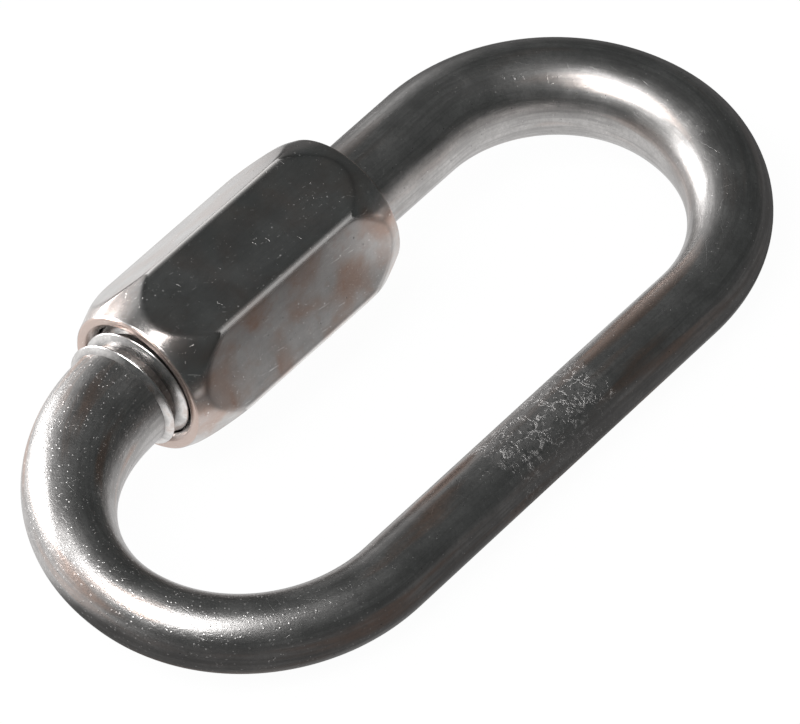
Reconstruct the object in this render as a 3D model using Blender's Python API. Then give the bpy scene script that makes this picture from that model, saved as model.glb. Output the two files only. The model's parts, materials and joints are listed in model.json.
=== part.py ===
"""Chain quick link: an oval bent from one round bar, closed by a long hexagonal barrel nut.

The bar is open on one long side. Both of its ends carry a rolled thread. The short threaded stub
at the +X end stands free of the bow, and the nut spans from it across the gap onto the other end.
Turned back along the bar towards -X, the nut uncovers the gap.

Link frame: X runs along the nut's axis, Y points from the nut side to the plain side, Z is the
upper face. The whole link is then laid down as it rests, on the nut's lowest corner and on the
plain side, with the centre of its outline over the origin and its lowest line at Z = 0.
"""

import math

import bmesh
import bpy
from mathutils import Matrix, Vector

MM = 0.001

# Bar
PLAIN_SIDE_RADIUS = 1.84 * MM
NUT_SIDE_RADIUS = 2.36 * MM
LONG_BOW_RADIUS = 2.31 * MM
STUB_BOW_RADIUS = 1.80 * MM
STUB_NECK_RADIUS = 2.62 * MM
SIDE_SPACING = 16.32 * MM
STRAIGHT_LENGTH = 21.60 * MM
LONG_BOW_DEPTH = 8.52 * MM
STUB_BOW_DEPTH = 8.94 * MM
BAR_SIDES = 28
BOW_STEPS = 26

# Threads on both ends of the bar
THREAD_PITCH = 1.00 * MM
THREAD_CREST_RADIUS = 2.95 * MM
THREAD_ROOT_RADIUS = 2.46 * MM
CREST_WIDTH = 0.14 * MM
FLANK_ANGLE = math.radians(30.0)
ROOT_SINK = 0.28 * MM
THREAD_STEPS = 26
RUNOUT_TURNS = 0.6
STUB_THREAD_LENGTH = 3.90 * MM
LONG_THREAD_LENGTH = 5.40 * MM
TIP_CHAMFER = 0.35 * MM
NECK_LENGTH = 0.60 * MM

# Gap between the two ends, covered by the nut
GAP = 5.00 * MM
STUB_TIP_X = 7.20 * MM

# Barrel nut
ACROSS_FLATS = 8.00 * MM
NUT_LENGTH = 14.60 * MM
THREAD_ENGAGED = 2.50 * MM
NUT_ROLL = math.radians(-9.0)
EDGE_BREAK = 0.16 * MM
END_RIM_RADIUS = 3.70 * MM
END_TAPER_LENGTH = 2.90 * MM
END_TAPER_CROWN = 1.3
END_TAPER_STEPS = 6
RUNNING_CLEARANCE = 0.08 * MM
COUNTERSINK = 0.26 * MM
TURNED_STEPS = 64

# Derived places
BORE_RADIUS = THREAD_CREST_RADIUS + RUNNING_CLEARANCE
HALF_STRAIGHT = STRAIGHT_LENGTH / 2
LONG_TIP_X = STUB_TIP_X - GAP
NUT_END_X = STUB_TIP_X + THREAD_ENGAGED
NUT_CENTRE_X = NUT_END_X - NUT_LENGTH / 2
CORNER_RADIUS = ACROSS_FLATS / 2 / math.cos(math.pi / 6)
FIRST_CREST_X = STUB_TIP_X + THREAD_PITCH / 2


def clear_scene():
    for obj in list(bpy.data.objects):
        bpy.data.objects.remove(obj, do_unlink=True)


def steel(name, colour, roughness):
    material = bpy.data.materials.new(name)
    material.use_nodes = True
    surface = material.node_tree.nodes["Principled BSDF"]
    surface.inputs["Base Color"].default_value = (*colour, 1.0)
    surface.inputs["Metallic"].default_value = 1.0
    surface.inputs["Roughness"].default_value = roughness
    material.diffuse_color = (*colour, 1.0)
    return material


def smoothstep(value):
    value = min(max(value, 0.0), 1.0)
    return value * value * (3.0 - 2.0 * value)


def bow_points(end, depth, first_radius, crown_radius):
    """Half an ellipse from the nut side round to the plain side, at end = +1 or -1.

    The bar changes smoothly from its first radius to the crown's, and on to the plain side's.
    """
    points = []
    for step in range(1, BOW_STEPS):
        turn = 2.0 * step / BOW_STEPS
        angle = math.pi / 2 * (turn - 1.0)
        x = end * (HALF_STRAIGHT + depth * math.cos(angle))
        y = SIDE_SPACING / 2 * (1.0 + math.sin(angle))
        radius = first_radius + (crown_radius - first_radius) * smoothstep(turn)
        radius += (PLAIN_SIDE_RADIUS - crown_radius) * smoothstep(turn - 1.0)
        points.append((x, y, radius))
    return points


def bar_stations():
    """(x, y, radius) along the bar, from the stub's tip round to the long end's tip."""
    tip_radius = THREAD_ROOT_RADIUS - TIP_CHAMFER
    stub = [
        (STUB_TIP_X, 0.0, tip_radius),
        (STUB_TIP_X + TIP_CHAMFER, 0.0, THREAD_ROOT_RADIUS),
        (HALF_STRAIGHT - NECK_LENGTH, 0.0, THREAD_ROOT_RADIUS),
        (HALF_STRAIGHT, 0.0, STUB_NECK_RADIUS),
    ]
    plain = []
    for share in (0.0, 0.25, 0.5, 0.75, 1.0):
        plain.append((HALF_STRAIGHT - STRAIGHT_LENGTH * share, SIDE_SPACING, PLAIN_SIDE_RADIUS))
    shoulder = LONG_TIP_X - LONG_THREAD_LENGTH
    long_end = [
        (-HALF_STRAIGHT, 0.0, NUT_SIDE_RADIUS),
        (shoulder - NECK_LENGTH, 0.0, NUT_SIDE_RADIUS),
        (shoulder, 0.0, THREAD_ROOT_RADIUS),
        (LONG_TIP_X - TIP_CHAMFER, 0.0, THREAD_ROOT_RADIUS),
        (LONG_TIP_X, 0.0, tip_radius),
    ]
    stub_bow = bow_points(1, STUB_BOW_DEPTH, STUB_NECK_RADIUS, STUB_BOW_RADIUS)
    long_bow = bow_points(-1, LONG_BOW_DEPTH, NUT_SIDE_RADIUS, LONG_BOW_RADIUS)
    return stub + stub_bow + plain + long_bow[::-1] + long_end


def add_object(name, mesh, material, parent):
    obj = bpy.data.objects.new(name, mesh)
    bpy.context.collection.objects.link(obj)
    if material:
        mesh.materials.clear()
        mesh.materials.append(material)
    obj.parent = parent
    return obj


def make_helper(obj):
    obj.hide_render = True
    obj.display_type = "WIRE"
    return obj


def finish_mesh(bm, name):
    bmesh.ops.remove_doubles(bm, verts=bm.verts, dist=1e-7)
    bmesh.ops.recalc_face_normals(bm, faces=bm.faces)
    mesh = bpy.data.meshes.new(name)
    bm.to_mesh(mesh)
    bm.free()
    return mesh


def swept_bar(name):
    """A round section swept along the stations, each with its own radius, and closed by end caps."""
    curve = bpy.data.curves.new(name + "_path", "CURVE")
    curve.dimensions = "3D"
    curve.twist_mode = "Z_UP"
    curve.bevel_depth = NUT_SIDE_RADIUS
    curve.bevel_resolution = (BAR_SIDES - 4) // 2
    curve.use_fill_caps = True
    stations = bar_stations()
    spline = curve.splines.new("POLY")
    spline.points.add(len(stations) - 1)
    for point, (x, y, radius) in zip(spline.points, stations):
        point.co = (x, y, 0.0, 1.0)
        point.radius = radius / NUT_SIDE_RADIUS
    path = bpy.data.objects.new(name + "_path", curve)
    bpy.context.collection.objects.link(path)
    bpy.context.view_layer.update()
    graph = bpy.context.evaluated_depsgraph_get()
    mesh = bpy.data.meshes.new_from_object(path.evaluated_get(graph))
    bpy.data.objects.remove(path, do_unlink=True)
    bm = bmesh.new()
    bm.from_mesh(mesh)
    bpy.data.meshes.remove(mesh)
    return finish_mesh(bm, name)


def thread_ridge(name, start_x, direction, length):
    """A helical ridge from the tip inwards that rises out of the core and runs out at its inner end.

    Both ends' ridges lie on one helix through the stub's first crest, so the nut runs over both.
    """
    first_angle = 2 * math.pi * (start_x - FIRST_CREST_X) / THREAD_PITCH
    turns = length / THREAD_PITCH
    steps = round(turns * THREAD_STEPS)
    height = THREAD_CREST_RADIUS - THREAD_ROOT_RADIUS
    base_radius = THREAD_ROOT_RADIUS - ROOT_SINK
    bm = bmesh.new()
    rings = []
    for step in range(steps + 1):
        turn = turns * step / steps
        fade = smoothstep(min(turn, turns - turn) / RUNOUT_TURNS)
        crest = THREAD_ROOT_RADIUS - 0.5 * ROOT_SINK + (height + 0.5 * ROOT_SINK) * fade
        crest_half = CREST_WIDTH / 2
        base_half = crest_half + (THREAD_CREST_RADIUS - base_radius) * math.tan(FLANK_ANGLE)
        angle = first_angle + direction * turn * 2 * math.pi
        turned = Matrix.Rotation(angle, 4, "X")
        centre = start_x + direction * turn * THREAD_PITCH
        profile = (
            (-base_half, base_radius),
            (-crest_half, crest),
            (crest_half, crest),
            (base_half, base_radius),
        )
        rings.append([bm.verts.new(turned @ Vector((centre + dx, 0.0, r))) for dx, r in profile])
    for first, second in zip(rings, rings[1:]):
        for i in range(4):
            j = (i + 1) % 4
            bm.faces.new((first[i], first[j], second[j], second[i]))
    bm.faces.new(rings[0])
    bm.faces.new(rings[-1][::-1])
    return finish_mesh(bm, name)


def turned_solid(name, profile):
    """A closed profile of (x, radius) points spun once round the X axis."""
    bm = bmesh.new()
    verts = [bm.verts.new((x, 0.0, r)) for x, r in profile]
    edges = [bm.edges.new(pair) for pair in zip(verts, verts[1:])]
    bmesh.ops.spin(
        bm,
        geom=verts + edges,
        cent=(0.0, 0.0, 0.0),
        axis=(1.0, 0.0, 0.0),
        angle=2 * math.pi,
        steps=TURNED_STEPS,
        use_merge=True,
    )
    return finish_mesh(bm, name)


def nut_outline():
    """The hexagon's corners in the plane across the axis, each broken into two points."""
    points = []
    for k in range(6):
        angle = math.radians(60.0 * k)
        corner = Vector((CORNER_RADIUS * math.cos(angle), CORNER_RADIUS * math.sin(angle)))
        for side in (-1, 1):
            along = angle + side * math.radians(120.0)
            points.append(corner + EDGE_BREAK * Vector((math.cos(along), math.sin(along))))
    return points


def hexagon_prism(name, length):
    bm = bmesh.new()
    section = [bm.verts.new((-length / 2, p.x, p.y)) for p in nut_outline()]
    face = bm.faces.new(section)
    out = bmesh.ops.extrude_face_region(bm, geom=[face])
    moved = [item for item in out["geom"] if isinstance(item, bmesh.types.BMVert)]
    bmesh.ops.translate(bm, verts=moved, vec=(length, 0.0, 0.0))
    return finish_mesh(bm, name)


def nut_blank_profile():
    """The turned outside: clear of the corners, with a slightly crowned taper to the rim at both ends."""
    half = NUT_LENGTH / 2
    rise = CORNER_RADIUS - END_RIM_RADIUS
    taper = [(half, 0.0)]
    for step in range(END_TAPER_STEPS + 1):
        share = step / END_TAPER_STEPS
        radius = END_RIM_RADIUS + rise * (1.0 - (1.0 - share) ** END_TAPER_CROWN)
        taper.append((half - END_TAPER_LENGTH * share, radius))
    taper.append((half - END_TAPER_LENGTH - rise, CORNER_RADIUS + 0.3 * rise))
    return taper + [(-x, radius) for x, radius in taper[::-1]]


def nut_bore_profile():
    """The bore, opened a little at both mouths; it reaches past both end faces."""
    half = NUT_LENGTH / 2
    over = 1.0 * MM
    return [
        (-half - over, 0.0),
        (-half - over, BORE_RADIUS + COUNTERSINK + over),
        (-half + COUNTERSINK, BORE_RADIUS),
        (half - COUNTERSINK, BORE_RADIUS),
        (half + over, BORE_RADIUS + COUNTERSINK + over),
        (half + over, 0.0),
    ]


def boolean(obj, name, operation, other):
    modifier = obj.modifiers.new(name, "BOOLEAN")
    modifier.operation = operation
    modifier.solver = "EXACT"
    modifier.object = other


def nut_drop(tilt):
    """How far the nut reaches below its axis when the link is tilted by this angle."""
    drops = []
    for point in nut_outline():
        angle = math.atan2(point.y, point.x) + NUT_ROLL - tilt
        drops.append(-point.length * math.sin(angle))
    return max(drops)


def rest_tilt():
    """The tilt about X at which the nut and the plain side touch the ground together."""
    tilt = 0.0
    for _ in range(30):
        tilt = math.asin((nut_drop(tilt) - PLAIN_SIDE_RADIUS) / SIDE_SPACING)
    return tilt


def rest_frame():
    """Lays the link down and puts the middle of its outline over the origin."""
    tilt = rest_tilt()
    turn = Matrix.Rotation(-tilt, 4, "X")
    low = Vector((math.inf, math.inf, math.inf))
    high = -low
    spots = [(Vector((x, y, 0.0)), radius) for x, y, radius in bar_stations()]
    for point in nut_outline():
        turned = Matrix.Rotation(NUT_ROLL, 4, "X") @ Vector((0.0, point.x, point.y))
        spots.append((turned, 0.0))
    for spot, radius in spots:
        placed = turn @ spot
        for axis in range(3):
            low[axis] = min(low[axis], placed[axis] - radius)
            high[axis] = max(high[axis], placed[axis] + radius)
    centre = (low + high) / 2
    shift = Matrix.Translation((-centre.x, -centre.y, nut_drop(tilt)))
    return shift @ turn


def build_link_body(frame, material):
    body = add_object("link_body", swept_bar("link_body"), material, frame)
    stub = thread_ridge("stub_thread", FIRST_CREST_X, 1, STUB_THREAD_LENGTH)
    stub_ridge = make_helper(add_object("stub_thread", stub, None, frame))
    length = LONG_THREAD_LENGTH - 0.5 * THREAD_PITCH
    long = thread_ridge("long_thread", LONG_TIP_X - 0.5 * THREAD_PITCH, -1, length)
    long_ridge = make_helper(add_object("long_thread", long, None, frame))
    boolean(body, "stub_thread", "UNION", stub_ridge)
    boolean(body, "long_thread", "UNION", long_ridge)
    return body


def build_nut(frame, material):
    nut = add_object("sleeve_nut", hexagon_prism("sleeve_nut", NUT_LENGTH + 1.0 * MM), material, frame)
    nut.location = (NUT_CENTRE_X, 0.0, 0.0)
    nut.rotation_euler = (NUT_ROLL, 0.0, 0.0)
    blank = turned_solid("nut_blank", nut_blank_profile())
    bore = turned_solid("nut_bore", nut_bore_profile())
    blank_cutter = make_helper(add_object("nut_blank", blank, None, nut))
    bore_cutter = make_helper(add_object("nut_bore", bore, None, nut))
    boolean(nut, "turned_ends", "INTERSECT", blank_cutter)
    boolean(nut, "bore", "DIFFERENCE", bore_cutter)
    return nut


def shade(obj):
    obj.data.shade_smooth()
    obj.data.set_sharp_from_angle(angle=math.radians(32.0))


def main():
    clear_scene()
    frame = bpy.data.objects.new("link_frame", None)
    bpy.context.collection.objects.link(frame)
    frame.empty_display_size = 10 * MM
    frame.matrix_world = rest_frame()
    bar_steel = steel("dark_polished_steel", (0.155, 0.150, 0.148), 0.30)
    nut_steel = steel("polished_nut_steel", (0.235, 0.222, 0.215), 0.26)
    shade(build_link_body(frame, bar_steel))
    shade(build_nut(frame, nut_steel))
    bpy.context.view_layer.update()


main()
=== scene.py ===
"""Looks of the chain quick link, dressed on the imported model."""

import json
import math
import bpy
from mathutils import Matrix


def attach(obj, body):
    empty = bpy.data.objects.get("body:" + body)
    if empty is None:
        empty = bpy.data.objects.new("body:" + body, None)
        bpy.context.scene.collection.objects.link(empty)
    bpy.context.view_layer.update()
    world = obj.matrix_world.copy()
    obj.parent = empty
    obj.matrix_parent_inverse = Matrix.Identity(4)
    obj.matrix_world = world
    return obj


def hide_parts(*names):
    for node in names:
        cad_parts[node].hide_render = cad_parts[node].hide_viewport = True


bl_info = {
    "name": "Chain quick link",
    "version": (1, 0, 0),
    "blender": (4, 5, 0),
    "location": "View3D > Sidebar > Quick link",
    "description": "Builds a worn steel chain quick link with its barrel nut, and a plain stage for it",
    "category": "Object",
}

import bmesh
import bpy
from mathutils import Matrix, Vector

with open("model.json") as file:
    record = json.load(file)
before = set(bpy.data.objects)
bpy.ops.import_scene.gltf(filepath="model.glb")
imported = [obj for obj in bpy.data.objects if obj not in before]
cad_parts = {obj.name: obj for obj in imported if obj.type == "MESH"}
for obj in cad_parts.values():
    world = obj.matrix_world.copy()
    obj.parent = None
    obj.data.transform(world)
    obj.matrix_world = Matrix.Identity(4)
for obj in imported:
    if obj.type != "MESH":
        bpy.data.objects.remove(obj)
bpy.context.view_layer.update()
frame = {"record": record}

MM = 0.001
MOUNTS = {mount["name"]: mount for mount in frame["record"]["mounts"]}
UPPER_FLAT = MOUNTS["wrench_flat_upper"]

TIP_ROUNDING = 0.35 * MM
CORNER_ROUNDING = 0.17 * MM
RIM_ROUNDING = 0.08 * MM
RUNNING_CLEARANCE = 0.08 * MM
BAR_SIDES = 96
BOW_STEPS = 84
FLAT_CUTS = 46
TAPER_STEPS = 46
RIDGE_STEPS_PER_TURN = 48

FLOOR_DROP = 0.05 * MM
LAMP_DISTANCE = 0.36
FOCAL_LENGTH = 405.0
CAMERA_PLACE = (0.211479, 0.219092, 0.290349)
CAMERA_ANGLES = (46.2167, 6.0606, 130.1471)


# Sizes and colours


def length(name, millimetres, description):
    """A length setting, written in millimetres."""
    return bpy.props.FloatProperty(
        name=name,
        description=description,
        default=millimetres * MM,
        min=0.5 * MM,
        precision=5,
        subtype="DISTANCE",
        unit="LENGTH",
    )


def steel_tint(name, default, description):
    """A colour setting."""
    return bpy.props.FloatVectorProperty(
        name=name, description=description, default=default, size=3, min=0.0, max=1.0, subtype="COLOR"
    )


def polish(name, default, description):
    """A roughness setting."""
    return bpy.props.FloatProperty(
        name=name, description=description, default=default, min=0.05, max=1.0, subtype="FACTOR"
    )


class LinkSizes(bpy.types.PropertyGroup):
    """Sizes of the link, as in its solid model"""

    plain_side_radius: length("Plain side radius", 1.84, "Radius of the bar on the side away from the nut")
    nut_side_radius: length("Nut side radius", 2.36, "Radius of the bar on the side that carries the nut")
    side_spacing: length("Side spacing", 16.32, "Distance between the centre lines of the two long sides")
    straight_length: length("Straight length", 21.60, "Length of the straight sides between the bows")
    stub_bow_depth: length(
        "Stub bow depth", 8.94, "Reach of the bow's centre line past the straight sides, beside the stub"
    )
    long_bow_depth: length(
        "Long bow depth", 8.52, "Reach of the bow's centre line past the straight sides, at the long end"
    )
    stub_bow_radius: length("Stub bow radius", 1.80, "Radius of the bar at the crown of the stub's bow")
    long_bow_radius: length("Long bow radius", 2.31, "Radius of the bar at the crown of the other bow")
    neck_radius: length("Neck radius", 2.62, "Radius of the bar where it leaves the stub's thread")
    thread_pitch: length("Thread pitch", 1.00, "Distance from one thread crest to the next")
    crest_radius: length("Thread crest radius", 2.95, "Radius of the rolled thread's crests on the bar")
    root_radius: length("Thread root radius", 2.46, "Radius of the core between the crests")
    stub_tip: length("Stub tip", 7.20, "Place of the short end's tip along the nut's axis")
    gap: length("Gap", 5.00, "Space between the two ends, covered by the nut")
    stub_thread: length("Stub thread length", 3.90, "Length of thread on the short end")
    long_thread: length("Long thread length", 5.40, "Length of thread on the long end")
    nut_length: length("Nut length", 14.60, "Length of the barrel nut")
    across_flats: length("Across flats", 8.00, "Spanner size of the nut")
    nut_end: length("Nut end", 9.70, "Place of the nut's end beside the stub, along its axis")
    nut_roll: bpy.props.FloatProperty(
        name="Nut roll",
        description="How far the nut is screwed round",
        default=math.radians(-9.0),
        subtype="ANGLE",
        unit="ROTATION",
    )
    rim_radius: length("Rim radius", 3.70, "Radius of the turned rim at each end of the nut")
    taper_length: length("Taper length", 2.90, "Length of the turned taper, measured at the corners")


class LinkFinish(bpy.types.PropertyGroup):
    """Colours of the worn steel"""

    bar_colour: steel_tint("Bar steel", (0.480, 0.466, 0.458), "Colour of the polished bar")
    nut_colour: steel_tint("Nut steel", (0.560, 0.544, 0.534), "Colour of the polished nut")
    stain_colour: steel_tint("Stain", (0.460, 0.310, 0.245), "Brown tint of the tarnish")
    bar_roughness: polish("Bar roughness", 0.33, "Roughness of the polished bar")
    nut_roughness: polish("Nut roughness", 0.22, "Roughness of the polished nut")


def sizes():
    return bpy.context.scene.link_sizes


def finish():
    return bpy.context.scene.link_finish


def resting():
    """The link frame as it lies: the nut's axis and the tilt are read off the upper wrench flat."""
    normal = Vector(UPPER_FLAT["axis"])
    tilt = math.radians(90.0) + sizes().nut_roll - math.atan2(normal.z, normal.y)
    axis_point = Vector(UPPER_FLAT["pos_m"]) - normal * sizes().across_flats / 2
    axis_point.x -= sizes().nut_end - sizes().nut_length / 2
    return Matrix.Translation(axis_point) @ Matrix.Rotation(-tilt, 4, "X")


# Mesh helpers


def smoothstep(value):
    value = min(max(value, 0.0), 1.0)
    return value * value * (3.0 - 2.0 * value)


def extrude_ring(bm, edges):
    """Extrudes a closed ring of edges in place and gives the new edges and points."""
    made = bmesh.ops.extrude_edge_only(bm, edges=edges)["geom"]
    new_edges = [item for item in made if isinstance(item, bmesh.types.BMEdge)]
    new_verts = [item for item in made if isinstance(item, bmesh.types.BMVert)]
    return new_edges, new_verts


def finished(bm, name, body, place, *, smooth=32.0, material):
    """Puts the mesh in its place, turns its faces outwards and makes it a piece that rides on a body."""
    bmesh.ops.remove_doubles(bm, verts=bm.verts, dist=1e-8)
    bmesh.ops.recalc_face_normals(bm, faces=bm.faces)
    bmesh.ops.transform(bm, matrix=place, verts=bm.verts)
    mesh = bpy.data.meshes.new(name)
    bm.to_mesh(mesh)
    bm.free()
    mesh.shade_smooth()
    mesh.set_sharp_from_angle(angle=math.radians(smooth))
    mesh.materials.append(material)
    piece = bpy.data.objects.new(name, mesh)
    bpy.context.scene.collection.objects.link(piece)
    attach(piece, body)
    return piece


# The bar


def bow_rows(end, depth, first_radius, crown_radius):
    """Rows round a bow from the nut side to the plain side: centre and radius."""
    s = sizes()
    rows = []
    for step in range(1, BOW_STEPS):
        turn = 2.0 * step / BOW_STEPS
        angle = math.pi / 2 * (turn - 1.0)
        x = end * (s.straight_length / 2 + depth * math.cos(angle))
        y = s.side_spacing / 2 * (1.0 + math.sin(angle))
        radius = first_radius + (crown_radius - first_radius) * smoothstep(turn)
        radius += (s.plain_side_radius - crown_radius) * smoothstep(turn - 1.0)
        rows.append((Vector((x, y, 0.0)), radius))
    return rows


def tip_rows(tip, inward, thread_length):
    """Rows from the rounded tip into the bar: place along the axis and radius."""
    root = sizes().root_radius
    rows = [(tip, 0.55 * root)]
    for step in range(6):
        turn = math.radians(18.0 * step)
        back = TIP_ROUNDING * (1 - math.cos(turn))
        rows.append((tip + inward * back, root - TIP_ROUNDING * (1 - math.sin(turn))))
    rows.append((tip + inward * 0.5 * thread_length, root))
    return rows


def bar_rows():
    """(centre, radius) along the bar from the stub's tip round to the long end's tip."""
    s = sizes()
    half = s.straight_length / 2
    side = s.nut_side_radius
    rows = [(Vector((x, 0, 0)), r) for x, r in tip_rows(s.stub_tip, 1, s.stub_thread)]
    for step in range(9):
        share = smoothstep(step / 8)
        x = half - 0.8 * MM + 0.1 * MM * step
        rows.append((Vector((x, 0, 0)), s.root_radius + (s.neck_radius - s.root_radius) * share))
    rows += bow_rows(1, s.stub_bow_depth, s.neck_radius, s.stub_bow_radius)
    for step in range(33):
        point = Vector((half - s.straight_length * step / 32, s.side_spacing, 0))
        rows.append((point, s.plain_side_radius))
    rows += bow_rows(-1, s.long_bow_depth, side, s.long_bow_radius)[::-1]
    long_tip = s.stub_tip - s.gap
    shoulder = long_tip - s.long_thread
    for step in range(9):
        x = -half + (shoulder - 0.6 * MM + half) * step / 8
        rows.append((Vector((x, 0, 0)), side))
    rows.append((Vector((shoulder, 0, 0)), s.root_radius))
    rows += [(Vector((x, 0, 0)), r) for x, r in tip_rows(long_tip, -1, s.long_thread)][::-1]
    return rows


def swept_bar(bm):
    """Sweeps a round ring along the rows and notes each point's place on the bar before bending."""
    rows = bar_rows()
    unbent = bm.verts.layers.float_vector.new("unbent")
    travelled = 0.0
    ring = bmesh.ops.create_circle(bm, segments=BAR_SIDES, radius=1.0, cap_ends=False)["verts"]
    for vert in ring:
        vert[unbent] = vert.co.copy()
    edges = list(bm.edges)
    points = [row[0] for row in rows]
    for number, (centre, radius) in enumerate(rows):
        before = points[max(number - 1, 0)]
        after = points[min(number + 1, len(rows) - 1)]
        along = (after - before).normalized()
        across = Vector((0, 0, 1)).cross(along)
        if number:
            travelled += (centre - before).length
            edges, ring = extrude_ring(bm, edges)
        for vert in ring:
            round_it = vert[unbent].xy if number == 0 else Vector(vert[unbent].yz)
            round_it.normalize()
            vert[unbent] = (travelled, round_it.x * radius, round_it.y * radius)
            vert.co = centre + radius * (across * round_it.x + Vector((0, 0, round_it.y)))
    bmesh.ops.holes_fill(bm, edges=[edge for edge in bm.edges if edge.is_boundary], sides=0)


def wound_ridge(bm, *, start, direction, turns, base, crest, flat):
    """Winds a ridge with a rounded crest round the nut's axis; it rises and runs out at its ends.

    Every ridge lies on the helix through the stub's first crest.
    """
    pitch = sizes().thread_pitch
    first_angle = 2 * math.pi * (start - sizes().stub_tip - pitch / 2) / pitch
    steps = round(turns * RIDGE_STEPS_PER_TURN)
    slope = math.tan(math.radians(30.0))
    wide = flat / 2 + abs(crest - base) * slope
    section = []
    for share in (-1.0, -0.66, -0.33, -0.08, 0.0, 0.08, 0.33, 0.66, 1.0):
        if abs(share) > 0.1:
            dx = math.copysign(flat / 2 + (wide - flat / 2) * (abs(share) - 0.33) / 0.67, share)
            rise = min(1.0 - (abs(share) - 0.33) / 0.67, 0.93)
        else:
            dx = flat * 2.0 * share
            rise = 1.0
        section.append((dx, rise))
    note = bm.verts.layers.float_vector.new("ridge_height")
    ring = [bm.verts.new((start + dx, 0.0, base)) for dx, rise in section]
    edges = [bm.edges.new((ring[i - 1], ring[i])) for i in range(len(ring))]
    for vert, (dx, rise) in zip(ring, section):
        vert[note] = (dx, rise, 0.0)
    bm.faces.new(ring)
    for step in range(steps + 1):
        turn = turns * step / steps
        fade = smoothstep(min(turn, turns - turn) / 0.55)
        if step:
            edges, ring = extrude_ring(bm, edges)
        spun = Matrix.Rotation(first_angle + direction * 2 * math.pi * turn, 3, "X")
        for vert in ring:
            dx, rise, _ = vert[note]
            radius = base + (crest - base) * rise * (0.30 + 0.70 * fade)
            vert.co = spun @ Vector((0.0, 0.0, radius))
            vert.co.x = start + dx + direction * turn * pitch
            vert[note] = (dx, rise, rise * fade)
    bmesh.ops.holes_fill(bm, edges=[edge for edge in bm.edges if edge.is_boundary], sides=0)


# The nut


def hexagon_ring(bm):
    """The nut's section with rounded corners: its points and edges, in the plane across the axis."""
    s = sizes()
    corner = s.across_flats / 2 / math.cos(math.pi / 6)
    bmesh.ops.create_circle(bm, segments=6, radius=corner, cap_ends=False)
    bmesh.ops.rotate(bm, matrix=Matrix.Rotation(math.radians(30.0), 3, "Z"), verts=bm.verts)
    bmesh.ops.bevel(
        bm,
        geom=bm.verts[:],
        offset=CORNER_ROUNDING,
        offset_type="OFFSET",
        segments=5,
        profile=0.5,
        affect="VERTICES",
        material=-1,
    )
    long_edges = [edge for edge in bm.edges if edge.calc_length() > 1.0 * MM]
    bmesh.ops.subdivide_edges(bm, edges=long_edges, cuts=FLAT_CUTS)
    return bm.verts[:], bm.edges[:]


def soft_lower(a, b, width):
    """The lower of two values, rounded over where they meet."""
    h = max(width - abs(a - b), 0.0) / width
    return min(a, b) - h * h * width * 0.25


def taper_radius(inset, corner):
    """Radius of the slightly crowned taper, this far in from the nut's end."""
    s = sizes()
    share = inset / s.taper_length
    if share > 1.0:
        return corner + 0.25 * (inset - s.taper_length)
    return s.rim_radius + (corner - s.rim_radius) * (1.0 - (1.0 - max(share, 0.0)) ** 1.3)


def nut_rows():
    """Rows over the nut's skin: (place along the axis, kind, radius)."""
    s = sizes()
    half = s.nut_length / 2
    bore = s.crest_radius + RUNNING_CLEARANCE
    first = half - 3.35 * MM
    run = half - RIM_ROUNDING - first
    taper = [first + run * step / TAPER_STEPS for step in range(TAPER_STEPS + 1)]
    outside = [(x, "skin", 0.0) for x in [0.0, 1.8 * MM] + taper]
    lip = []
    for step in range(1, 6):
        turn = math.radians(18.0 * step)
        x = half - RIM_ROUNDING * (1 - math.sin(turn))
        lip.append((x, "round", s.rim_radius - RIM_ROUNDING * (1 - math.cos(turn))))
    for inset, rise in ((0.0, 0.34), (0.01, 0.30), (0.04, 0.26), (0.26, 0.03), (0.32, 0.0)):
        lip.append((half - inset * MM, "round", bore + rise * MM))
    right = outside + lip
    inside = [(half * (1 - 2 * step / 12), "round", bore) for step in range(1, 12)]
    left = [(-x, kind, radius) for x, kind, radius in right[::-1]]
    return right + inside + left[:-1]


def turned_nut(bm):
    """Runs the hexagon ring over the rows: flats outside, cut by the taper, then the rim and the bore."""
    s = sizes()
    half = s.nut_length / 2
    corner = s.across_flats / 2 / math.cos(math.pi / 6)
    shape = bm.verts.layers.float_vector.new("flat_shape")
    wear = bm.verts.layers.float.new("edge_wear")
    dark_marks = bm.verts.layers.float.new("painted_edge_shade")
    rim = bm.verts.layers.float.new("rim_stain")
    ring, edges = hexagon_ring(bm)
    for vert in ring:
        vert[shape] = (vert.co.length, vert.co.x / vert.co.length, vert.co.y / vert.co.length)
    first = edges
    flat_corner = corner - 0.05 * MM
    for number, (x, kind, radius) in enumerate(nut_rows()):
        if number:
            edges, ring = extrude_ring(bm, edges)
        cone = taper_radius(half - abs(x), corner)
        for vert in ring:
            reach, cy, cz = vert[shape]
            if kind == "skin":
                distance = soft_lower(reach, cone, 0.12 * MM)
                crease = abs(reach - cone) * 2.2
                ridge = max(flat_corner - reach, 0.0) * 1.2 if reach < cone else 1.0 * MM
                vert[wear] = math.exp(-ridge / (0.03 * MM)) if reach < cone else 0.0
                # Painted shade: thin dark lines along the edge where the taper cuts the flats, and just
                # beside the rounded corners.
                beside_edge = abs(ridge - 0.10 * MM) if reach < cone else 1.0 * MM
                vert[dark_marks] = max(math.exp(-crease / (0.13 * MM)), 0.8 * math.exp(-beside_edge / (0.03 * MM)))
                vert[rim] = 0.0
            else:
                distance = radius
                vert[wear] = 0.30 if radius > s.crest_radius + 0.2 * MM else 0.0
                vert[dark_marks] = 0.0
                vert[rim] = 1.0 if radius > s.crest_radius + 0.2 * MM else 0.0
            vert.co = (x, distance * cy, distance * cz)
    bmesh.ops.bridge_loops(bm, edges=edges + first)


# Shaders


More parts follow.
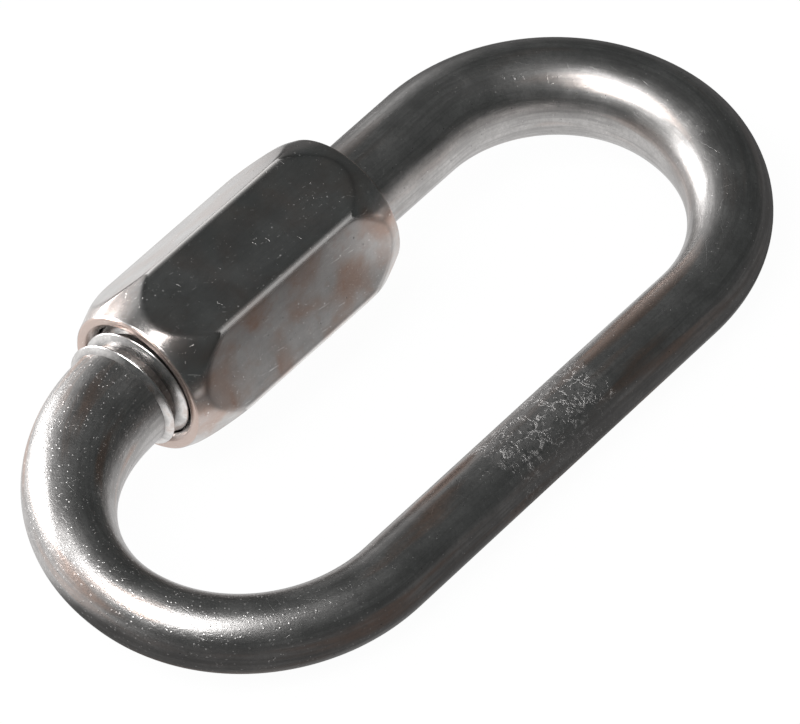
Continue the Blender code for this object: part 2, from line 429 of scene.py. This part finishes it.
class Socket:
    """An output socket whose sums and products add Math nodes."""

    def __init__(self, shop, socket):
        self.shop = shop
        self.socket = socket

    def _math(self, operation, *values, clamp=False):
        settings = {"operation": operation, "use_clamp": clamp}
        return self.shop.node("ShaderNodeMath", settings, dict(enumerate(values)))

    def __add__(self, other):
        return self._math("ADD", self, other)

    def __radd__(self, other):
        return self._math("ADD", other, self)

    def __sub__(self, other):
        return self._math("SUBTRACT", self, other)

    def __rsub__(self, other):
        return self._math("SUBTRACT", other, self)

    def __mul__(self, other):
        return self._math("MULTIPLY", self, other)

    def __rmul__(self, other):
        return self._math("MULTIPLY", other, self)

    def __pow__(self, other):
        return self._math("POWER", self, other)

    def __abs__(self):
        return self._math("ABSOLUTE", self)

    def above(self, edge, width):
        """0 below the edge, rising to 1 over the width."""
        return self.shop.node(
            "ShaderNodeMapRange",
            {"interpolation_type": "SMOOTHSTEP"},
            {"Value": self, "From Min": edge, "From Max": edge + width},
        )

    def below(self, edge, width):
        return 1.0 - self.above(edge - width, width)

    def clamped(self):
        return self._math("ADD", self, 0.0, clamp=True)

    def higher(self, other):
        return self._math("MAXIMUM", self, other)

    def sibling(self, name):
        """Another output of the same node."""
        return Socket(self.shop, self.socket.node.outputs[name])


class Shop:
    """Makes the nodes of one material or world."""

    def __init__(self, owner):
        owner.use_nodes = True
        self.owner = owner
        self.tree = owner.node_tree
        self.tree.nodes.clear()

    def node(self, kind, settings=None, values=None, output=0):
        """One node: its settings first, then the values or links of its sockets."""
        made = self.tree.nodes.new(kind)
        for key, value in (settings or {}).items():
            setattr(made, key, value)
        for key, value in (values or {}).items():
            target = made.inputs[key]
            if isinstance(value, Socket):
                self.tree.links.new(value.socket, target)
            else:
                target.default_value = value
        return Socket(self, made.outputs[output]) if made.outputs else made

    def millimetres(self, place=(0.0, 0.0, 0.0), turn=(0.0, 0.0, 0.0), stretch=(1.0, 1.0, 1.0), source=None):
        """Coordinates in millimetres, moved, turned and stretched by a Mapping node."""
        if source is None:
            source = self.node("ShaderNodeTexCoord", output="Object")
        scale = tuple(1000.0 * value for value in stretch)
        moved = {"Vector": source, "Location": place, "Rotation": turn, "Scale": scale}
        return self.node("ShaderNodeMapping", {"vector_type": "POINT"}, moved)

    def attribute(self, name, output=1):
        settings = {"attribute_name": name, "attribute_type": "GEOMETRY"}
        return self.node("ShaderNodeAttribute", settings, output=output)

    def coordinate(self, vector, axis):
        """One coordinate of a vector: 0, 1 or 2 for x, y or z."""
        return self.node("ShaderNodeSeparateXYZ", values={"Vector": vector}, output=axis)

    def noise(self, vector, scale, detail=2.0, roughness=0.5, distortion=0.0):
        values = {
            "Vector": vector,
            "Scale": scale,
            "Detail": detail,
            "Roughness": roughness,
            "Distortion": distortion,
        }
        return self.node("ShaderNodeTexNoise", {"noise_dimensions": "3D"}, values)

    def specks(self, vector, scale, size, share):
        """Round specks in a share of the cells: 1 at their middle."""
        settings = {"feature": "F1", "distance": "EUCLIDEAN", "voronoi_dimensions": "3D"}
        values = {"Vector": vector, "Scale": scale}
        distance = self.node("ShaderNodeTexVoronoi", settings, values, "Distance")
        chance = self.node("ShaderNodeSeparateColor", values={"Color": distance.sibling("Color")})
        return distance.below(size, size * 0.6) * chance.below(share, 0.02)

    def mix(self, factor, a, b):
        """Mixes two colours."""
        a, b = (value if isinstance(value, Socket) else (*value[:3], 1.0) for value in (a, b))
        values = {0: factor, 6: a, 7: b}
        return self.node("ShaderNodeMix", {"data_type": "RGBA", "clamp_factor": True}, values, output=2)

    def bump(self, height, distance, strength):
        values = {"Height": height, "Distance": distance, "Strength": strength}
        return self.node("ShaderNodeBump", values=values)

    def metal(self, colour, roughness, normal, metallic=1.0):
        shader = self.node(
            "ShaderNodeBsdfPrincipled",
            values={
                "Base Color": colour,
                "Roughness": roughness,
                "Metallic": metallic,
                "Specular Tint": (0.9, 0.9, 0.9, 1.0),
                "Normal": normal,
            },
        )
        self.node("ShaderNodeOutputMaterial", values={"Surface": shader})
        return self.owner


def darker(colour, share):
    return tuple(value * share for value in colour)


def scratches(shop, source, turns, *, fine=7.0, long=0.35, share=0.70):
    """Thin lines in several directions: 1 on a line."""
    total = None
    for number, turn in enumerate(turns):
        turned = shop.millimetres(place=(3.1 * number, 1.7 * number, 0.9 * number), turn=turn, source=source)
        lines = shop.node("ShaderNodeMapping", values={"Vector": turned, "Scale": (long, fine, fine)})
        line = shop.noise(lines, 1.0, detail=1.0).above(share, 0.03)
        total = line if total is None else total.higher(line)
    return total


def bar_steel(name):
    """Worn polished bar: drawing lines, stains, specks, and a rough patch on the plain side."""
    shop = Shop(bpy.data.materials.new(name))
    f = finish()
    unbent = shop.attribute("unbent")
    along = shop.millimetres(source=unbent)
    tone = shop.noise(along, 0.45, detail=4.0, roughness=0.6)
    lengthwise = shop.millimetres(source=unbent, stretch=(0.16, 3.4, 3.4))
    drawn = shop.noise(lengthwise, 1.0, detail=4.0, roughness=0.65)
    grain = shop.noise(along, 9.0, detail=3.0, roughness=0.7)
    streaked = shop.millimetres(source=unbent, stretch=(0.10, 0.9, 0.9))
    stain = shop.noise(streaked, 1.0, detail=3.0).above(0.52, 0.16)
    colour = shop.mix(tone.above(0.30, 0.40), darker(f.bar_colour, 0.84), darker(f.bar_colour, 1.12))
    colour = shop.mix(drawn.above(0.42, 0.20) * 0.55, colour, darker(f.bar_colour, 0.55))
    travelled = shop.coordinate(along, 0)
    near_stub = travelled.below(34.0, 16.0)
    stained = 0.25 + 0.47 * travelled.below(60.0, 14.0)
    colour = shop.mix(stain * stained, colour, f.stain_colour)
    speckled = shop.noise(along, 5.0, detail=4.0, roughness=0.8)
    colour = shop.mix(speckled.above(0.45, 0.15) * 0.30, colour, darker(f.bar_colour, 0.55))
    pale = shop.specks(along, 4.4, 0.16, 0.20)
    fine = shop.specks(along, 5.5, 0.30, 0.50) * (0.15 + 0.85 * near_stub)
    pits = shop.specks(along, 3.4, 0.15, 0.20)
    colour = shop.mix(pale * 0.6, colour, darker(f.bar_colour, 1.9))
    colour = shop.mix(fine * 0.5, colour, darker(f.bar_colour, 1.8))
    colour = shop.mix(pits * 0.85, colour, darker(f.bar_colour, 0.22))
    patch = worn_patch(shop, unbent)
    mottled = shop.noise(along, 1.5, detail=5.0, roughness=0.75, distortion=0.6)
    thread = abs(shop.noise(along, 1.3, detail=3.0, roughness=0.6, distortion=1.2) - 0.5).below(0.042, 0.034)
    thread = thread * mottled.above(0.44, 0.12)
    colour = shop.mix(patch * 0.45, colour, darker(f.bar_colour, 0.70))
    colour = shop.mix(patch * thread * 0.6, colour, darker(f.bar_colour, 1.30))
    varied = 0.12 * (tone - 0.5) + 0.10 * (drawn - 0.5) + 0.10 * (grain - 0.5)
    rough = (f.bar_roughness + varied + 0.2 * pits).clamped()
    rough = rough + patch * (0.42 + 0.12 * thread - rough)
    scratch = scratches(shop, unbent, ((0.0, 0.0, 0.35), (0.2, 0.0, -0.5), (0.0, 0.3, 1.2)))
    height = drawn * 0.30 + grain * (0.25 + near_stub) - pits * 0.9 + pale * 0.6 + fine * 1.3
    height = height - scratch * 0.35 + patch * (1.4 * mottled + 1.8 * thread)
    uneven = shop.noise(along, 0.8, detail=3.0).above(0.40, 0.30)
    marks = (0.20 * pale + 0.12 * fine) * (0.25 + 0.75 * uneven) + 0.035 * patch * thread
    return shop.metal(colour, rough, shop.bump(height, 0.012 * MM, 0.55), 1.0 - marks)


def patch_middle():
    """Distance along the bar from the stub's tip to the middle of the plain side."""
    rows = bar_rows()
    travelled = 0.0
    for (before, _), (after, _) in zip(rows, rows[1:]):
        travelled += (after - before).length
        if after.y > sizes().side_spacing - 1e-6 and after.x <= 0.3 * MM:
            break
    return travelled


def worn_patch(shop, unbent):
    """A rough pitted patch on the plain side, with broken edges: 1 inside."""
    along = shop.millimetres(source=unbent)
    middle = patch_middle() / MM
    ragged = shop.noise(along, 1.4, detail=4.0, roughness=0.7)
    off = abs(shop.coordinate(along, 0) - middle) + 1.8 * (ragged - 0.5)
    broken = shop.noise(along, 3.2, detail=4.0, roughness=0.7).above(0.36, 0.16)
    return off.below(3.9, 0.5) * broken


def thread_steel(name):
    """Rolled thread: bright crests, darker towards the roots."""
    shop = Shop(bpy.data.materials.new(name))
    f = finish()
    risen = shop.coordinate(shop.attribute("ridge_height"), 2)
    place = shop.millimetres()
    tone = shop.noise(place, 1.6, detail=4.0)
    bright = shop.mix(tone.above(0.35, 0.3), darker(f.nut_colour, 1.0), darker(f.nut_colour, 1.4))
    colour = shop.mix(risen.above(0.25, 0.6), darker(f.bar_colour, 0.35), bright)
    colour = shop.mix(tone.above(0.55, 0.15) * 0.35, colour, f.stain_colour)
    rough = 0.34 - 0.12 * risen + 0.1 * (tone - 0.5)
    return shop.metal(colour, rough, shop.bump(shop.noise(place, 6.0, detail=3.0), 0.01 * MM, 0.5))


def nut_steel(name):
    """Worn polished nut: scratched flats, bright worn edges, stained taper and rim, painted shade lines along
    the edges and a painted brown reflection on its +y side.
    """
    shop = Shop(bpy.data.materials.new(name))
    f = finish()
    source = shop.node("ShaderNodeTexCoord", output="Object")
    place = shop.millimetres(source=source)
    tone = shop.noise(place, 0.5, detail=5.0, roughness=0.6)
    cloud = shop.noise(place, 1.7, detail=4.0, roughness=0.65)
    grain = shop.noise(place, 10.0, detail=3.0, roughness=0.7)
    wear = shop.attribute("edge_wear", output=2)
    brushed = shop.noise(shop.millimetres(source=source, stretch=(0.5, 4.5, 4.5)), 1.0, detail=3.0)
    colour = shop.mix(tone.above(0.33, 0.36), darker(f.nut_colour, 0.90), darker(f.nut_colour, 1.08))
    colour = shop.mix(brushed.above(0.4, 0.3) * 0.15, colour, darker(f.nut_colour, 0.6))
    large = shop.noise(place, 0.42, detail=3.0, distortion=0.4)
    # Painted reflection: the tarnish is made stronger on the nut's +y side. This stands in for a brown
    # reflection on the flats facing that way, over the real stain everywhere.
    brown_reflection_side = 0.45 + 0.65 * shop.coordinate(place, 1).above(-3.6, 0.3)
    stain = cloud.above(0.50, 0.30) * 0.3 + large.above(0.38, 0.36) * 0.75
    colour = shop.mix((stain * brown_reflection_side).clamped(), colour, f.stain_colour)
    colour = shop.mix(shop.attribute("rim_stain", output=2) * 0.8, colour, f.stain_colour)
    turns = ((0.3, 0.2, 0.7), (0.0, 0.4, -0.8), (0.2, 0.0, 1.35), (0.5, 0.1, 0.15))
    scratch = scratches(shop, source, turns, fine=12.0, long=0.5, share=0.755)
    colour = shop.mix(scratch * 0.55, colour, darker(f.nut_colour, 1.9))
    tiny = 0.6 * shop.specks(place, 5.0, 0.22, 0.30) * tone.above(0.42, 0.2)
    dots = shop.specks(place, 2.2, 0.13, 0.30).higher(tiny)
    colour = shop.mix(dots * 0.75, colour, darker(f.nut_colour, 2.0))
    dark_marks = shop.specks(place, 2.6, 0.14, 0.16)
    colour = shop.mix(dark_marks * 0.8, colour, darker(f.nut_colour, 0.25))
    # Painted shade: darkens the nut's colour along those thin edge lines.
    colour = shop.mix(shop.attribute("painted_edge_shade", output=2) * 0.5, colour, darker(f.nut_colour, 0.25))
    colour = shop.mix(wear * 0.65, colour, darker(f.nut_colour, 1.7))
    rough = (f.nut_roughness + 0.10 * (tone - 0.5) + 0.10 * (grain - 0.5) + 0.15 * dark_marks).clamped()
    height = brushed * 0.25 + grain * 0.2 - scratch * 0.5 - dark_marks * 0.8
    marks = 0.34 * wear + 0.06 * scratch + 0.10 * dots
    return shop.metal(colour, rough, shop.bump(height, 0.012 * MM, 0.5), 1.0 - marks)


def bore_steel(name):
    """Inside thread of the nut: dark and slightly oily."""
    shop = Shop(bpy.data.materials.new(name))
    f = finish()
    place = shop.millimetres()
    tone = shop.noise(place, 2.0, detail=4.0)
    colour = shop.mix(tone.above(0.35, 0.3), darker(f.bar_colour, 0.5), darker(f.bar_colour, 1.0))
    return shop.metal(colour, 0.34 + 0.12 * (tone - 0.5), shop.bump(tone, 0.01 * MM, 0.4))


# Operators


class LINK_OT_bar(bpy.types.Operator):
    """Sweeps the bent bar with its two rounded tips"""

    bl_idname = "link.bar"
    bl_label = "Bent bar"

    def execute(self, context):
        bm = bmesh.new()
        swept_bar(bm)
        piece = finished(bm, "bent_bar", "link", resting(), material=bar_steel("worn bar steel"))
        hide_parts("link_body")
        return {"FINISHED"}


class LINK_OT_threads(bpy.types.Operator):
    """Winds the rolled ridges on both ends of the bar, on one common helix"""

    bl_idname = "link.threads"
    bl_label = "Rolled threads"

    def execute(self, context):
        s = sizes()
        steel = thread_steel("rolled thread steel")
        pitch = s.thread_pitch
        ends = (
            ("stub_thread_ridge", s.stub_tip + pitch / 2, 1, s.stub_thread / pitch),
            ("long_thread_ridge", s.stub_tip - s.gap - pitch / 2, -1, s.long_thread / pitch - 0.5),
        )
        for name, start, direction, turns in ends:
            bm = bmesh.new()
            wound_ridge(
                bm,
                start=start,
                direction=direction,
                turns=turns,
                base=s.root_radius - 0.30 * MM,
                crest=s.crest_radius,
                flat=0.14 * MM,
            )
            piece = finished(bm, name, "link", resting(), smooth=50.0, material=steel)
        return {"FINISHED"}


class LINK_OT_nut(bpy.types.Operator):
    """Turns the barrel nut: hexagon, tapered ends, rims and bore"""

    bl_idname = "link.nut"
    bl_label = "Barrel nut"

    def execute(self, context):
        s = sizes()
        bm = bmesh.new()
        turned_nut(bm)
        centre = s.nut_end - s.nut_length / 2
        place = resting() @ Matrix.Translation((centre, 0, 0)) @ Matrix.Rotation(s.nut_roll, 4, "X")
        piece = finished(bm, "barrel_nut", "nut", place, smooth=40.0, material=nut_steel("worn nut steel"))
        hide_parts("sleeve_nut")
        return {"FINISHED"}


class LINK_OT_nut_thread(bpy.types.Operator):
    """Winds the nut's inside thread between the crests of the bar's thread"""

    bl_idname = "link.nut_thread"
    bl_label = "Nut thread"

    def execute(self, context):
        s = sizes()
        pitch = s.thread_pitch
        start = s.nut_end - 0.5 * pitch
        turns = s.nut_length / pitch - 1.0
        bm = bmesh.new()
        wound_ridge(
            bm,
            start=start,
            direction=-1,
            turns=turns,
            base=s.crest_radius + 0.14 * MM,
            crest=s.root_radius + 0.12 * MM,
            flat=0.12 * MM,
        )
        place = resting() @ Matrix.Rotation(math.pi, 4, "X")
        piece = finished(bm, "nut_inner_thread", "nut", place, smooth=50.0, material=bore_steel("bore steel"))
        return {"FINISHED"}


def lamp(name, direction, width, height, power):
    """A soft oval lamp in this direction from the object."""
    data = bpy.data.lights.new(name, "AREA")
    data.shape = "ELLIPSE"
    data.size = width
    data.size_y = height
    data.energy = power
    obj = bpy.data.objects.new(name, data)
    towards = Vector(direction).normalized()
    obj.location = towards * LAMP_DISTANCE + Vector((0, 0, 4 * MM))
    obj.rotation_euler = towards.to_track_quat("Z", "Y").to_euler()
    bpy.context.scene.collection.objects.link(obj)


def seen_directly(shop):
    """1 for camera, glossy and transmission rays."""
    camera = shop.node("ShaderNodeLightPath", output="Is Camera Ray")
    return camera.higher(camera.sibling("Is Glossy Ray")).higher(camera.sibling("Is Transmission Ray"))


def pale_floor(name):
    """A pale floor, white to the camera and in the metal, that keeps a trace of shadow.

    In the metal its white fades to dark grey outside the loop and under the plain side, except beside the nut
    and the stub's bow: a painted shadow of the link, seen only in reflections.
    """
    shop = Shop(bpy.data.materials.new(name))
    place = shop.millimetres()
    x, y = shop.coordinate(place, 0), shop.coordinate(place, 1)
    # Painted shadow: in glossy rays the floor turns dark grey outside the loop and under the plain side, set
    # by place alone.
    past_side = (abs(x) - 11.0).higher(0.0)
    off_middle = y - 1.3
    reach = (past_side * past_side + off_middle * off_middle) ** 0.5
    beside = x.above(-15.0, 4.0) * y.below(-3.0, 5.0)
    under_plain_side = 0.75 * y.above(0.0, 4.0) * x.above(-11.0, 4.0)
    painted_shadow = (reach.above(7.8, 2.5) * (1.0 - beside)).higher(under_plain_side)
    glossy = shop.node("ShaderNodeLightPath", output="Is Glossy Ray")
    white = shop.mix(painted_shadow * glossy, (1.0, 1.0, 1.0), (0.10, 0.10, 0.10))
    diffuse = shop.node("ShaderNodeBsdfDiffuse", values={"Color": (0.86, 0.86, 0.86, 1.0)})
    shown = shop.node("ShaderNodeEmission", values={"Color": white, "Strength": 1.0})
    mixed = shop.node("ShaderNodeMixShader", values={0: seen_directly(shop) * 0.97, 1: diffuse, 2: shown})
    shop.node("ShaderNodeOutputMaterial", values={"Surface": mixed})
    return shop.owner


class LINK_OT_stage(bpy.types.Operator):
    """Sets the floor, the lamps, the pale surroundings and the camera"""

    bl_idname = "link.stage"
    bl_label = "Stage"

    def execute(self, context):
        scene = context.scene
        bm = bmesh.new()
        bmesh.ops.create_grid(bm, x_segments=1, y_segments=1, size=0.9)
        mesh = bpy.data.meshes.new("floor")
        bm.to_mesh(mesh)
        bm.free()
        mesh.materials.append(pale_floor("pale floor"))
        floor = bpy.data.objects.new("floor", mesh)
        floor.location = (0, 0, -FLOOR_DROP)
        scene.collection.objects.link(floor)
        self.surround(scene)
        lamp("high_lamp", (0.52, -0.03, 0.85), 0.28, 0.16, 1.15)
        lamp("top_lamp", (0.22, 0.16, 0.96), 0.09, 0.07, 0.16)
        lamp("shoulder_lamp", (0.28, -0.87, 0.38), 0.17, 0.13, 0.80)
        lamp("back_lamp", (0.05, -0.98, 0.08), 0.24, 0.05, 0.30)
        data = bpy.data.cameras.new("camera")
        data.sensor_fit = "HORIZONTAL"
        data.sensor_width = 36.0
        data.lens = FOCAL_LENGTH
        data.clip_end = 5.0
        camera = bpy.data.objects.new("camera", data)
        camera.location = CAMERA_PLACE
        camera.rotation_euler = [math.radians(angle) for angle in CAMERA_ANGLES]
        scene.collection.objects.link(camera)
        scene.camera = camera
        scene.view_settings.view_transform = "Standard"
        return {"FINISHED"}

    def surround(self, scene):
        """A soft grey surround that lights the object, white at the horizon where it is seen."""
        world = bpy.data.worlds.new("surround")
        shop = Shop(world)
        direction = shop.node("ShaderNodeTexCoord", output="Generated")
        behind_nut = 0.25 * shop.coordinate(direction, 0) - 0.95 * shop.coordinate(direction, 1)
        graded = shop.mix(behind_nut.above(0.40, 0.52), (0.062, 0.068, 0.068), (1.0, 1.0, 1.0))
        camera = shop.node("ShaderNodeLightPath", output="Is Camera Ray")
        glossy = camera.sibling("Is Glossy Ray")
        colour = shop.mix(glossy, (0.55, 0.55, 0.55), graded)
        colour = shop.mix(camera, colour, (1.0, 1.0, 1.0))
        background = shop.node("ShaderNodeBackground", values={"Color": colour, "Strength": 1.0})
        shop.node("ShaderNodeOutputWorld", values={"Surface": background})
        scene.world = world


class LINK_PT_panel(bpy.types.Panel):
    """Lists the link's pieces, sizes and colours"""

    bl_idname = "LINK_PT_panel"
    bl_label = "Chain quick link"
    bl_space_type = "VIEW_3D"
    bl_region_type = "UI"
    bl_category = "Quick link"

    def draw(self, context):
        layout = self.layout
        for operator in OPERATORS:
            layout.operator(operator.bl_idname)
        for group in (context.scene.link_sizes, context.scene.link_finish):
            column = layout.column()
            for name in group.__annotations__:
                column.prop(group, name)


OPERATORS = (LINK_OT_bar, LINK_OT_threads, LINK_OT_nut, LINK_OT_nut_thread, LINK_OT_stage)
CLASSES = (LinkSizes, LinkFinish, *OPERATORS, LINK_PT_panel)


def register():
    for cls in CLASSES:
        bpy.utils.register_class(cls)
    bpy.types.Scene.link_sizes = bpy.props.PointerProperty(type=LinkSizes)
    bpy.types.Scene.link_finish = bpy.props.PointerProperty(type=LinkFinish)


def unregister():
    del bpy.types.Scene.link_finish
    del bpy.types.Scene.link_sizes
    for cls in reversed(CLASSES):
        bpy.utils.unregister_class(cls)


def main():
    register()
    bpy.ops.link.bar()
    bpy.ops.link.threads()
    bpy.ops.link.nut()
    bpy.ops.link.nut_thread()
    bpy.ops.link.stage()


if __name__ == "__main__":
    main()
